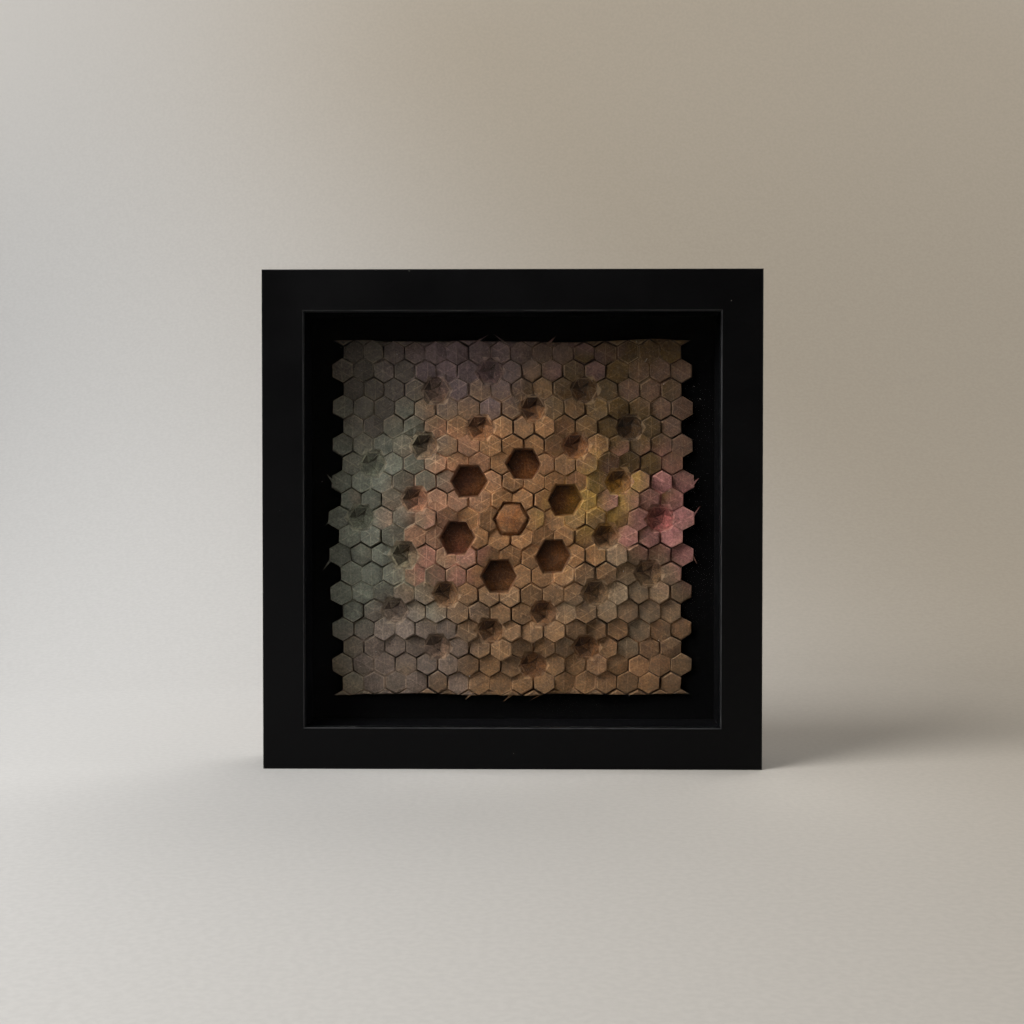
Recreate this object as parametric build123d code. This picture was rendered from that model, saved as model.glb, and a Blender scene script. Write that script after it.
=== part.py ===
from build123d import *
import cmath
import math
import os

# A deep box frame with one sheet of folded paper behind clear glazing.
# Millimetres. +Z is up and the front faces -Y. The origin is the middle of the frame's underside.

# Frame moulding
FRAME_WIDTH = 250.0
FRAME_HEIGHT = 250.0
WALL = 15.0  # side wall of a rail
RABBET = 6.0  # how far the front lip stands in from the wall
LIP = 5.0  # thickness of the front lip
OUTER_ROUND = 0.8  # front outer edge
INNER_ROUND = 1.0  # front edge of the opening

# Layers behind the lip, from the front
GLAZING = 2.0
SPACER_SETBACK = 0.5  # of a spacer's inner face, behind the edge of the lip
CARD = 1.5
BOARD = 3.0
BACK_RECESS = 8.5  # from the backing board to the back of the rails
FIT = 0.5  # clearance of each layer in the rails, on every side

# Corner nails, pressed into the back of each mitre
NAIL_LEG = 6.0
NAIL_THICKNESS = 0.6
NAIL_DEPTH = 10.0
NAILS_PER_CORNER = 2

# Spring tabs that hold the backing board
TAB_WIDTH = 9.0
TAB_THICKNESS = 0.6
TAB_BITE = 6.0  # length inside the rail
TAB_REACH = 12.0  # length over the backing board
TAB_END_ROUND = 3.0
TAB_FROM_CORNER = 55.0  # middle of a tab from the frame's outer edge

# Sawtooth hanger, riveted to the backing board
HANGER_LENGTH = 56.0
HANGER_HEIGHT = 11.0
HANGER_THICKNESS = 0.8
HANGER_STANDOFF = 2.2  # free gap behind the teeth
HANGER_FOOT = 9.0
HANGER_RAMP = 2.5
HANGER_DROP = 24.0  # from the board's top edge to the hanger's middle
TOOTH_PITCH = 4.0
TOOTH_DEPTH = 2.2
RIVET_RADIUS = 1.2
RIVET_HEAD_RADIUS = 2.6
RIVET_HEAD = 0.8
RIVET_HEAD_ROUND = 0.5
RIVET_FLANGE_RADIUS = 2.2
RIVET_FLANGE = 0.7

# Folded sheet
PITCH = 11.0  # from one folded hexagon to the next
PLEAT_GAP = 0.9  # width of a pleat at its mouth
PLEAT_DEPTH = 2.4
SHEET = 0.8  # the layers of paper, measured front to back
SHEET_LIFT = 0.2  # clearance under the pleats at the sheet's edge
SHEET_MARGIN = 10.0  # least black border between the sheet and the spacer
DOME_RISE = 8.4  # the middle of the sheet stands this much higher than its edge
DOME_OUTER = 98.0  # radius where the rise starts
DOME_INNER = 42.0  # radius where it is complete
AIR_GAP = 11.4  # from the highest fold to the glazing
MOAT_DROP = 1.0  # moat round the boss, below the pleats
BOSS_RISE = 0.4  # rim of the boss above the tiles
BOSS_PEAK = 1.4  # peak of the boss above its rim
STEP_DROP = 1.2  # step inside a pit, below the pleats
PIT_DROP = 5.2  # floor of a pit, below the pleats
PIT_TWIST = math.radians(24)  # turn of that floor

# Radii of corners on the sheet, and how far walls lean in from them, all in pitches
WELL_MOUTH = 0.90
WELL_LEAN = 0.12
MOAT_LEAN = 0.08
BOSS_LEAN = 0.16
PIT_MOUTH = 0.75
PIT_LEAN = 0.17
PIT_FLOOR = 0.24

# The wells and pits repeat six times round the boss. Cells are counted along two rows at 60 degrees.
BOSS_CELL = (0, 0)
WELL_CELLS = [(2, 1)]
PIT_CELLS = [(1, 4), (4, 2), (3, 5), (0, 7)]

# Worked out from the sizes above
FACE_WIDTH = WALL + RABBET
SPACER_THICKNESS = RABBET - FIT - SPACER_SETBACK
SHEET_EDGE = SHEET_LIFT + SHEET + PLEAT_DEPTH
SHEET_TOP = SHEET_EDGE + DOME_RISE + BOSS_RISE + BOSS_PEAK
SPACER_DEPTH = SHEET_TOP + AIR_GAP
FRAME_DEPTH = LIP + GLAZING + SPACER_DEPTH + CARD + BOARD + BACK_RECESS
FRONT = -FRAME_DEPTH / 2
BACK = FRAME_DEPTH / 2
GLAZING_FRONT = FRONT + LIP
SPACER_FRONT = GLAZING_FRONT + GLAZING
CARD_FRONT = SPACER_FRONT + SPACER_DEPTH
BOARD_FRONT = CARD_FRONT + CARD
BOARD_BACK = BOARD_FRONT + BOARD
MIDDLE = Vector(0, 0, FRAME_HEIGHT / 2)
LAYER_WIDTH = FRAME_WIDTH - 2 * WALL - 2 * FIT
LAYER_HEIGHT = FRAME_HEIGHT - 2 * WALL - 2 * FIT
CLEAR_WIDTH = LAYER_WIDTH - 2 * SPACER_THICKNESS
CLEAR_HEIGHT = LAYER_HEIGHT - 2 * SPACER_THICKNESS
BOTTOM, LEFT, TOP, RIGHT = 0, 90, 180, 270  # turns about Y that take the bottom rail to each side


def slab(width, height, front, depth):
    """A plate upright in the middle of the frame, from front to front + depth."""
    return Pos(0, front + depth / 2, FRAME_HEIGHT / 2) * Box(width, depth, height)


def prism(points, front, depth):
    """An outline in X and Z, about the frame's middle, made into a plate from front to front + depth."""
    plane = Plane(origin=MIDDLE + Vector(0, front, 0), x_dir=(1, 0, 0), z_dir=(0, -1, 0))
    return extrude(plane * make_face(Polyline(*points, close=True)), -depth)


def on_side(part, turn):
    """A piece made for the bottom rail, turned about the frame's middle to another side."""
    return Pos(*MIDDLE) * Rot(0, turn, 0) * Pos(*-MIDDLE) * part


def side_sizes(turn):
    """(length of the side, distance from the frame's middle to its outer edge)."""
    if turn in (BOTTOM, TOP):
        return FRAME_WIDTH, FRAME_HEIGHT / 2
    return FRAME_HEIGHT, FRAME_WIDTH / 2


# Frame moulding

def rail(turn):
    """One mitred length of moulding, with a rabbet behind its lip."""
    length, reach = side_sizes(turn)
    low = FRAME_HEIGHT / 2 - reach
    outline = Polyline(
        (FRONT, low), (BACK, low), (BACK, low + WALL), (FRONT + LIP, low + WALL),
        (FRONT + LIP, low + FACE_WIDTH), (FRONT, low + FACE_WIDTH), close=True,
    )
    section = make_face(outline)
    for height, radius in ((low, OUTER_ROUND), (low + FACE_WIDTH, INNER_ROUND)):
        edge = section.vertices().sort_by_distance((FRONT, height))[0]
        section = fillet(edge, radius).face()
    bar = extrude(Plane.YZ * section, length / 2, both=True)
    ends = [
        (-length / 2, -reach), (length / 2, -reach),
        (length / 2 - FACE_WIDTH, FACE_WIDTH - reach), (FACE_WIDTH - length / 2, FACE_WIDTH - reach),
    ]
    return on_side(bar & prism(ends, FRONT, FRAME_DEPTH), turn)


def corner_nails():
    """Angle-shaped nails across the mitres, flush with the back of the rails."""
    outline = [
        (0, 0), (-NAIL_LEG, 0), (-NAIL_LEG, -NAIL_THICKNESS),
        (-NAIL_THICKNESS, -NAIL_THICKNESS), (-NAIL_THICKNESS, -NAIL_LEG), (0, -NAIL_LEG),
    ]
    nails = []
    for side in (-1, 1):
        for end in (-1, 1):
            for number in range(NAILS_PER_CORNER):
                from_edge = (WALL - NAIL_LEG) * (number + 1) / (NAILS_PER_CORNER + 1)
                x = FRAME_WIDTH / 2 - from_edge
                z = FRAME_HEIGHT / 2 - from_edge
                points = [(side * (x + a), end * (z + b)) for a, b in outline]
                nails.append(prism(points, BACK - NAIL_DEPTH, NAIL_DEPTH))
    return nails


def spring_tabs():
    """Flat steel tabs, two in each rail, bent down on the backing board."""
    tabs = []
    for turn in (BOTTOM, LEFT, TOP, RIGHT):
        length, reach = side_sizes(turn)
        height = TAB_BITE + TAB_REACH
        tab = Box(TAB_WIDTH, TAB_THICKNESS, height)
        free_end = tab.edges().filter_by(Axis.Y).group_by(Axis.Z)[-1]
        tab = fillet(free_end, TAB_END_ROUND)
        low = FRAME_HEIGHT / 2 - reach + WALL - TAB_BITE
        for end in (-1, 1):
            x = end * (length / 2 - TAB_FROM_CORNER)
            placed = Pos(x, BOARD_BACK + TAB_THICKNESS / 2, low + height / 2) * tab
            tabs.append(on_side(placed, turn))
    return tabs


# Layers in the rabbet

def spacer(turn):
    """One strip between the glazing and the card. The upright strips stand between the other two."""
    length, reach = side_sizes(turn)
    run = length - 2 * WALL - 2 * FIT
    if turn in (LEFT, RIGHT):
        run -= 2 * SPACER_THICKNESS
    low = FRAME_HEIGHT / 2 - reach + WALL + FIT
    strip = Box(run, SPACER_DEPTH, SPACER_THICKNESS)
    placed = Pos(0, SPACER_FRONT + SPACER_DEPTH / 2, low + SPACER_THICKNESS / 2) * strip
    return on_side(placed, turn)


# Hanger on the backing board

HANGER_Z = (FRAME_HEIGHT + LAYER_HEIGHT) / 2 - HANGER_DROP
RIVET_X = HANGER_LENGTH / 2 - HANGER_FOOT / 2


def round_bar(radius, x, front, depth):
    """A round bar along Y, at the hanger's height."""
    return Pos(x, front + depth / 2, HANGER_Z) * Rot(90, 0, 0) * Cylinder(radius, depth)


def hanger():
    """A steel strip whose middle stands off the board, with a toothed lower edge."""
    half, foot = HANGER_LENGTH / 2, HANGER_FOOT
    near, far = BOARD_BACK, BOARD_BACK + HANGER_STANDOFF
    inside = [
        (-half, near), (foot - half, near), (foot + HANGER_RAMP - half, far),
        (half - foot - HANGER_RAMP, far), (half - foot, near), (half, near),
    ]
    outside = [(x, y + HANGER_THICKNESS) for x, y in reversed(inside)]
    profile = make_face(Polyline(*inside, *outside, close=True))
    strip = extrude(Plane.XY.offset(HANGER_Z - HANGER_HEIGHT / 2) * profile, HANGER_HEIGHT)
    flat = HANGER_LENGTH - 2 * HANGER_FOOT - 2 * HANGER_RAMP
    count = 2 * int((flat / TOOTH_PITCH - 1) / 2) + 1  # odd, for a notch in the middle
    foot_z = HANGER_Z - HANGER_HEIGHT / 2 - FRAME_HEIGHT / 2
    for number in range(count):
        x = (number - (count - 1) / 2) * TOOTH_PITCH
        notch = [(x - TOOTH_PITCH / 2, foot_z), (x + TOOTH_PITCH / 2, foot_z), (x, foot_z + TOOTH_DEPTH)]
        strip -= prism(notch, far, HANGER_THICKNESS)
    for side in (-1, 1):
        strip -= round_bar(RIVET_RADIUS, side * RIVET_X, near, HANGER_THICKNESS)
    return strip


def rivets():
    """Two rivets through the hanger's feet and the board, each clinched in a recess at the board's front."""
    made = []
    for side in (-1, 1):
        x = side * RIVET_X
        rivet = round_bar(RIVET_FLANGE_RADIUS, x, BOARD_FRONT, RIVET_FLANGE)
        rivet += round_bar(RIVET_RADIUS, x, BOARD_FRONT, BOARD + HANGER_THICKNESS)
        head = round_bar(RIVET_HEAD_RADIUS, x, BOARD_BACK + HANGER_THICKNESS, RIVET_HEAD)
        rim = head.edges().sort_by(Axis.Y)[-1]
        made.append(rivet + fillet(rim, RIVET_HEAD_ROUND))
    return made


def backing_board(rivet_parts):
    board = slab(LAYER_WIDTH, LAYER_HEIGHT, BOARD_FRONT, BOARD)
    for rivet in rivet_parts:
        board -= rivet
    return board


# Folded sheet. Points on it are complex numbers, across and up from its middle, each with a height
# above the card. One surface is laid out cell by cell, and the sheet is that surface with a thickness.

STEPS = [(1, 0), (0, 1), (-1, 1), (-1, 0), (0, -1), (1, -1)]  # to the neighbours, anticlockwise
CORNER_RADIUS = PITCH / math.sqrt(3)
ROW_PITCH = PITCH * math.sqrt(3) / 2
COLUMNS = int((CLEAR_WIDTH - 2 * SHEET_MARGIN) / PITCH)
LAST_ROW = int((CLEAR_HEIGHT / 2 - SHEET_MARGIN + CORNER_RADIUS / 2) / ROW_PITCH) - 1
EDGE_ROW = LAST_ROW + 1  # cut straight across by the sheet's upper and lower edges


def turned(angle, radius=1.0):
    return radius * cmath.exp(1j * angle)


def centre(cell):
    return PITCH * (cell[0] + cell[1] * turned(math.pi / 3))


def corner(cell, number):
    """The corner between the neighbours number and number + 1."""
    return centre(cell) + turned(math.pi * (2 * number + 1) / 6, CORNER_RADIUS)


def beside(cell, number):
    step = STEPS[number % 6]
    return cell[0] + step[0], cell[1] + step[1]


def six_fold(cells):
    """The cells, each repeated six times round the middle."""
    found = []
    for cell in cells:
        for _ in STEPS:
            found.append(cell)
            cell = (-cell[1], cell[0] + cell[1])
    return found


def dome(point):
    """Height of the folded tiles above the card."""
    share = (DOME_OUTER - abs(point)) / (DOME_OUTER - DOME_INNER)
    share = min(max(share, 0.0), 1.0)
    return SHEET_EDGE + DOME_RISE * share * share * (3 - 2 * share)


def pleat(point):
    """Height of the bottom of a pleat."""
    return dome(point) - PLEAT_DEPTH


def sheet_cells():
    """(whole cells, cells cut by the straight edges)."""
    whole, cut = [], []
    reach = COLUMNS / 2 * PITCH
    for row in range(-EDGE_ROW, EDGE_ROW + 1):
        for column in range(-2 * COLUMNS, 2 * COLUMNS):
            cell = (column, row)
            if abs(centre(cell).real) < reach:
                (cut if abs(row) == EDGE_ROW else whole).append(cell)
    return whole, cut


class Surface:
    """The front of the sheet as flat facets, with the edges of its outline."""

    def __init__(self, cells):
        self.cells = cells
        self.facets = []
        self.outline = []

    def facet(self, *points):
        self.facets.append(points)

    def strip(self, first, second):
        """Two triangles for each step along two rows of points."""
        for a, b, c, d in zip(first, first[1:], second, second[1:]):
            self.facet(a, b, d)
            self.facet(a, d, c)

    def raised_tile(self, points, height, gapped):
        """A flat tile inside a cell, with a pleat wall down to the cell's outline at each gapped side."""
        self.facet(*[(point, height) for point, _ in points])
        for number, has_gap in enumerate(gapped):
            if has_gap:
                ends = [points[number], points[(number + 1) % len(points)]]
                self.strip([(point, height) for point, _ in ends], [(foot, pleat(foot)) for _, foot in ends])

    def edge(self, a, b):
        """One side of a cell that is at the sheet's edge."""
        self.outline.append(((a, pleat(a)), (b, pleat(b))))

    def edges_beside(self, cell, numbers):
        """Every side of a cell, of those towards the neighbours numbered, that has no cell beside it."""
        for number in numbers:
            if beside(cell, number) not in self.cells:
                self.edge(corner(cell, number - 1), corner(cell, number))


def inset(points, middle, inradius):
    """Each corner moved in, so that every side moves in by half a pleat, with the corner itself."""
    share = 1 - PLEAT_GAP / 2 / inradius
    return [(middle + (point - middle) * share, point) for point in points]


def plain_cell(surface, cell):
    corners = [corner(cell, number) for number in range(6)]
    surface.raised_tile(inset(corners, centre(cell), PITCH / 2), dome(centre(cell)), [True] * 6)
    surface.edges_beside(cell, range(6))


def cut_cell(surface, cell):
    """A cell of the first or last row: the three corners that are left inside the straight edge."""
    first = 3 if cell[1] > 0 else 0
    corners = [corner(cell, first + number) for number in range(3)]
    sides = [abs(corners[number - 2] - corners[number - 1]) for number in range(3)]
    around = sum(sides)
    middle = sum(side * point for side, point in zip(sides, corners)) / around
    height = CORNER_RADIUS / 2
    inradius = sides[1] * height / around
    surface.raised_tile(inset(corners, middle, inradius), dome(middle), [True] * 3)
    surface.edges_beside(cell, (first + 1, first + 2))
    surface.edge(corners[2], corners[0])


def notched_cell(surface, cell, inward, apex, ends):
    """A tile beside a mouth, which cuts a corner of it away, in the direction inward."""
    middle = centre(cell)
    outer = [corner(cell, inward + number) for number in range(1, 5)]
    points = [(apex, apex), ends[0], *inset(outer, middle, PITCH / 2), ends[1]]
    surface.raised_tile(points, dome(middle), [False, True, True, True, True, True, False])
    surface.edges_beside(cell, (inward + 2, inward + 3, inward + 4))


def hexagon(middle, share, height):
    """Six corners towards the neighbours, share pitches from the middle."""
    return [(middle + turned(number * math.pi / 3, share * PITCH), height) for number in range(6)]


def mouth(surface, cell, share, foot):
    """Cuts a six-sided mouth, turned a twelfth from the tiles, into the six neighbours of a cell.

    The walls go from the neighbours' tiles, and from the pleats between them, down to the foot.
    """
    middle = centre(cell)
    gap = PLEAT_GAP / 2
    around = [beside(cell, number) for number in range(6)]
    heights = [dome(centre(tile)) for tile in around]
    apexes = [point for point, _ in hexagon(middle, share, 0)]
    sides = []
    for number in range(6):
        after = (number + 1) % 6
        halfway = (apexes[number] + apexes[after]) / 2
        along = (apexes[after] - apexes[number]) / (share * PITCH)
        sides.append((halfway - along * gap, halfway, halfway + along * gap))
        rim = [
            (apexes[number], heights[number]), (sides[-1][0], heights[number]), (halfway, pleat(halfway)),
            (sides[-1][2], heights[after]), (apexes[after], heights[after]),
        ]
        surface.facet(rim[0], rim[1], foot[number])
        surface.facet(rim[1], rim[2], foot[number])
        surface.facet(rim[2], foot[after], foot[number])
        surface.facet(rim[2], rim[3], foot[after])
        surface.facet(rim[3], rim[4], foot[after])
    for number, tile in enumerate(around):
        before = sides[number - 1]
        ends = [(before[2], before[1]), (sides[number][0], sides[number][1])]
        notched_cell(surface, tile, number + 3, apexes[number], ends)


def well(surface, cell):
    """A deep well whose floor lies on the card."""
    floor = hexagon(centre(cell), WELL_MOUTH - WELL_LEAN, SHEET)
    mouth(surface, cell, WELL_MOUTH, floor)
    surface.facet(*floor)


def boss(surface, cell):
    """A low six-sided peak in a moat."""
    middle = centre(cell)
    foot = WELL_MOUTH - MOAT_LEAN
    moat = hexagon(middle, foot, pleat(middle) - MOAT_DROP)
    rim = hexagon(middle, foot - BOSS_LEAN, dome(middle) + BOSS_RISE)
    peak = (middle, dome(middle) + BOSS_RISE + BOSS_PEAK)
    mouth(surface, cell, WELL_MOUTH, moat)
    surface.strip([*moat, moat[0]], [*rim, rim[0]])
    for number in range(6):
        surface.facet(rim[number], rim[(number + 1) % 6], peak)


def pit(surface, cell):
    """A pit that steps in and then twists down to a small three-sided floor."""
    middle = centre(cell)
    step = hexagon(middle, PIT_MOUTH - PIT_LEAN, max(pleat(middle) - STEP_DROP, SHEET))
    height = max(pleat(middle) - PIT_DROP, SHEET)
    angles = [number * math.tau / 3 + math.pi / 6 + PIT_TWIST for number in range(3)]
    floor = [(middle + turned(angle, PIT_FLOOR * PITCH), height) for angle in angles]
    mouth(surface, cell, PIT_MOUTH, step)
    surface.facet(*floor)
    for number in range(3):
        a, b, c = step[2 * number], step[2 * number + 1], step[(2 * number + 2) % 6]
        near, far = floor[number], floor[(number + 1) % 3]
        surface.facet(a, b, near)
        surface.facet(b, c, far)
        surface.facet(b, far, near)


def folded_surface():
    whole, cut = sheet_cells()
    free = set(whole)
    surface = Surface(free | set(cut))
    for shape, cells in ((boss, [BOSS_CELL]), (well, six_fold(WELL_CELLS)), (pit, six_fold(PIT_CELLS))):
        for cell in cells:
            block = {cell, *[beside(cell, number) for number in range(6)]}
            if block <= free:
                shape(surface, cell)
                free -= block
    for cell in whole:
        if cell in free:
            plain_cell(surface, cell)
    for cell in cut:
        cut_cell(surface, cell)
    return surface


def folded_sheet():
    """The surface in front, its copy behind, and the edge between them, as one solid."""
    surface = folded_surface()

    def place(point, drop):
        return point[0].real, CARD_FRONT - point[1] + drop, FRAME_HEIGHT / 2 + point[0].imag

    faces = []
    for drop in (0, SHEET):
        for facet in surface.facets:
            faces.append(Face(Wire.make_polygon([place(point, drop) for point in facet])))
    for a, b in surface.outline:
        corners = [place(a, 0), place(b, 0), place(b, SHEET), place(a, SHEET)]
        faces.append(Face(Wire.make_polygon(corners)))
    return Solid(Shell(faces))


# Every piece

def pieces():
    nails, tabs, rivet_parts = corner_nails(), spring_tabs(), rivets()
    made = {}
    for name, turn in (("bottom", BOTTOM), ("left", LEFT), ("top", TOP), ("right", RIGHT)):
        made[f"frame_rail_{name}"] = rail(turn) - nails - tabs
        made[f"spacer_strip_{name}"] = spacer(turn)
    made["glazing_sheet"] = slab(LAYER_WIDTH, LAYER_HEIGHT, GLAZING_FRONT, GLAZING)
    made["mount_card"] = slab(LAYER_WIDTH, LAYER_HEIGHT, CARD_FRONT, CARD)
    made["backing_board"] = backing_board(rivet_parts)
    made["folded_paper_sheet"] = folded_sheet()
    made["sawtooth_hanger"] = hanger()
    made["hanger_rivets"] = Compound(rivet_parts)
    made["corner_nails"] = Compound(nails)
    made["spring_tabs"] = Compound(tabs)
    return made


os.makedirs("parts", exist_ok=True)
for name, piece in pieces().items():
    export_step(piece, f"parts/{name}.step", write_pcurves=False)
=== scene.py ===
import math
import random

import bmesh
import bpy
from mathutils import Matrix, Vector, noise

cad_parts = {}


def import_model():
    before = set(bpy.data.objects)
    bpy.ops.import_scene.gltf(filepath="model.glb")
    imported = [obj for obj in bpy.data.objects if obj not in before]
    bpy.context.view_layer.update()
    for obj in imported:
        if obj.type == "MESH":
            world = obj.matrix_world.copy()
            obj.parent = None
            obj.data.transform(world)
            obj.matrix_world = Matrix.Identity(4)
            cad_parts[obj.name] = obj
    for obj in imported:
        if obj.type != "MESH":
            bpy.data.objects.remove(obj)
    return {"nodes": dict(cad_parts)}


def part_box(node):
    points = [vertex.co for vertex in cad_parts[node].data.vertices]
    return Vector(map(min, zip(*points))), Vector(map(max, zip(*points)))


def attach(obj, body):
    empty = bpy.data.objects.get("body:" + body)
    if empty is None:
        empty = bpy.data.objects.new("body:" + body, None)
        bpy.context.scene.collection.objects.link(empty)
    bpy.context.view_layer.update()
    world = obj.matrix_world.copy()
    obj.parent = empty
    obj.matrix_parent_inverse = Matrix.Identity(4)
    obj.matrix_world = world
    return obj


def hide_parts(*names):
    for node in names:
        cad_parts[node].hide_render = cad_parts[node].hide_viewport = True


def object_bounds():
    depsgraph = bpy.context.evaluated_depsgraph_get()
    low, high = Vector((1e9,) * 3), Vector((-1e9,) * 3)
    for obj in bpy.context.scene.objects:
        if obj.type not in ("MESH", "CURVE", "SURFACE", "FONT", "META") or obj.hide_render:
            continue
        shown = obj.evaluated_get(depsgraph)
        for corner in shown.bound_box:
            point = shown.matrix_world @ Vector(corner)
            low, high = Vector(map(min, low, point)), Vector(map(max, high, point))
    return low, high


# A deep black box frame with one sheet of folded, dyed paper behind clear glazing.
# Metres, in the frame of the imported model: +Z is up and the front faces -Y.

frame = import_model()
NODES = frame["nodes"]
CAD_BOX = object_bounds()
LOW, HIGH = CAD_BOX
MM = 0.001
BODY = "root"

# Places read from the model
FRAME_WIDTH = HIGH.x - LOW.x
MIDDLE = Vector((0, 0, (LOW.z + HIGH.z) / 2))
FRONT = LOW.y
SHEET_NODE = "folded_paper_sheet"
SHEET_LOW, SHEET_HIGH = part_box(SHEET_NODE)
SHEET_REACH = (SHEET_HIGH - SHEET_LOW) / 2  # from its middle to its sides
CARD_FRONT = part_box("mount_card")[0].y
GLAZING_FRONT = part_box("glazing_sheet")[0].y
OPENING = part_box("spacer_strip_right")[0].x  # from the middle to the inner face of a spacer
LIP_OVER = 0.5 * MM  # how far the rails' lip reaches past the spacers
LIP_EDGE = OPENING - LIP_OVER  # from the middle to the front edge of the opening

# The sheet's grid of hexagons
SHEET_COLUMNS = 17
PITCH = (SHEET_HIGH.x - SHEET_LOW.x) / SHEET_COLUMNS
ROW = PITCH * math.sqrt(3) / 2
SHEET_HALF = SHEET_COLUMNS / 2 - 1
SHEET_ROWS = 9  # above and below the middle row
BESIDE = ((1, 0), (0, 1), (-1, 1), (-1, 0), (0, -1), (1, -1))
FEATURE_STEP, FEATURE_EVERY = 5, 7  # wells and pits lie on every seventh cell

# Camera, from the photograph's frame of 1024 by 1024 pixels
IMAGE_PIXELS = 1024
FRAME_PIXELS = 501  # width of the frame's front
DROP_PIXELS = 8  # from the picture's middle down to the frame's middle
CAMERA_DISTANCE = 0.75  # from the frame's front
CAMERA_AZIMUTH = math.radians(0.8)
CAMERA_ELEVATION = math.radians(1.2)
SENSOR = 36.0
CLIP_START = 0.01


# Node helpers

CLOUD_RANGE = (0.3, 0.7)  # where clouds mostly stay


def feed(tree, socket, value):
    """Sets a socket to a value, or links another node's output to it."""
    if isinstance(value, bpy.types.NodeSocket):
        tree.links.new(value, socket)
    else:
        socket.default_value = value


def node(tree, kind, inputs=None, **settings):
    """A node of a tree. Each input is a value, or another node's output to link."""
    made = tree.nodes.new("ShaderNode" + kind)
    for name, value in settings.items():
        setattr(made, name, value)
    for name, value in (inputs or {}).items():
        feed(tree, made.inputs[name], value)
    return made


def math_of(tree, operation, *values):
    return node(tree, "Math", dict(enumerate(values)), operation=operation).outputs[0]


def times(tree, first, *others):
    """The product of some values."""
    for other in others:
        first = math_of(tree, "MULTIPLY", first, other)
    return first


def vector_of(tree, operation, *values):
    made = node(tree, "VectorMath", dict(enumerate(values)), operation=operation)
    return made.outputs["Value" if operation in ("DOT_PRODUCT", "LENGTH") else "Vector"]


def scaled(tree, vector, size):
    """A place counted in steps of a size."""
    linked = isinstance(size, bpy.types.NodeSocket)
    share = math_of(tree, "DIVIDE", 1.0, size) if linked else 1.0 / size
    return node(tree, "VectorMath", {0: vector, "Scale": share}, operation="SCALE").outputs[0]


def ramp(tree, value, low, high, start=0.0, end=1.0):
    """A value taken smoothly from start to end while it goes from low to high."""
    inputs = {"Value": value, "From Min": low, "From Max": high, "To Min": start, "To Max": end}
    return node(tree, "MapRange", inputs, interpolation_type="SMOOTHSTEP").outputs[0]


def mixed(tree, share, first, second, blend="MIX"):
    """Two colours mixed."""
    made = node(tree, "Mix", {0: share, 6: first, 7: second}, data_type="RGBA", blend_type=blend)
    return made.outputs[2]


def toned(tree, tone, factor):
    """A colour made lighter or darker by a factor."""
    return mixed(tree, 1.0, tone, factor, "MULTIPLY")


def tinted(tree, tone, dye, mask, share):
    """A colour with a share of another laid over it where a mask is."""
    return mixed(tree, times(tree, mask, share), tone, dye)


def clouds(tree, place, size, detail=3.0, roughness=0.55):
    """Soft noise, mostly within the cloud range."""
    inputs = {"Vector": scaled(tree, place, size), "Scale": 1.0, "Detail": detail, "Roughness": roughness}
    return node(tree, "TexNoise", inputs).outputs[0]


def own_place(tree):
    return node(tree, "TexCoord").outputs["Object"]


def point_value(tree, name, kind="Fac"):
    """A value or vector that the mesh holds at each point."""
    return node(tree, "Attribute", attribute_name=name).outputs[kind]


def grey(level):
    return level, level, level, 1.0


def colour(red, green, blue):
    """A colour as seen on a screen, from 0 to 255, made linear."""
    def linear(part):
        part /= 255
        return part / 12.92 if part <= 0.04045 else ((part + 0.055) / 1.055) ** 2.4
    return linear(red), linear(green), linear(blue), 1.0


# Effects that several finishes share

FINE_SIZE = 0.3  # of the finer grain, beside the coarser
EDGE_TURN = (0.02, 0.22)  # how far the rounded normal turns, beside an edge and on it
BREAK_SOFT = 0.22  # softness of the breaks in a worn edge
FLECK_CORE = 0.6  # share of a fleck's radius that is solid
WASH_CORE = 0.25  # share of a wash's reach that is solid


def new_group(name, inputs, outputs):
    """A node group. Its sockets are named, with default values that set their kind."""
    tree = bpy.data.node_groups.new(name, "ShaderNodeTree")
    for in_out, sockets in (("INPUT", inputs), ("OUTPUT", outputs)):
        for label, value in sockets.items():
            size = len(value) if isinstance(value, tuple) else 1
            kind = {1: "Float", 3: "Vector", 4: "Color"}[size]
            socket = tree.interface.new_socket(label, in_out=in_out, socket_type="NodeSocket" + kind)
            socket.default_value = value
    start = tree.nodes.new("NodeGroupInput").outputs
    end = tree.nodes.new("NodeGroupOutput").inputs
    return tree, start, end


def placed(tree, group, **inputs):
    """A group's outputs, with its inputs set by name."""
    made = node(tree, "Group", node_tree=group)
    for label, value in inputs.items():
        feed(tree, made.inputs[label.replace("_", " ").capitalize()], value)
    return made.outputs


def make_fine_grain():
    """Fine surface grain: a tone, and a height for bump."""
    tree, start, end = new_group("fine grain", {"Size": 1 * MM}, {"Tone": 0.5, "Height": 0.5})
    place = own_place(tree)
    coarse = clouds(tree, place, start["Size"], detail=4.0, roughness=0.65)
    fine = clouds(tree, place, times(tree, start["Size"], FINE_SIZE), detail=2.0)
    feed(tree, end["Tone"], ramp(tree, coarse, *CLOUD_RANGE))
    feed(tree, end["Height"], math_of(tree, "ADD", coarse, fine))
    return tree


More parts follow.
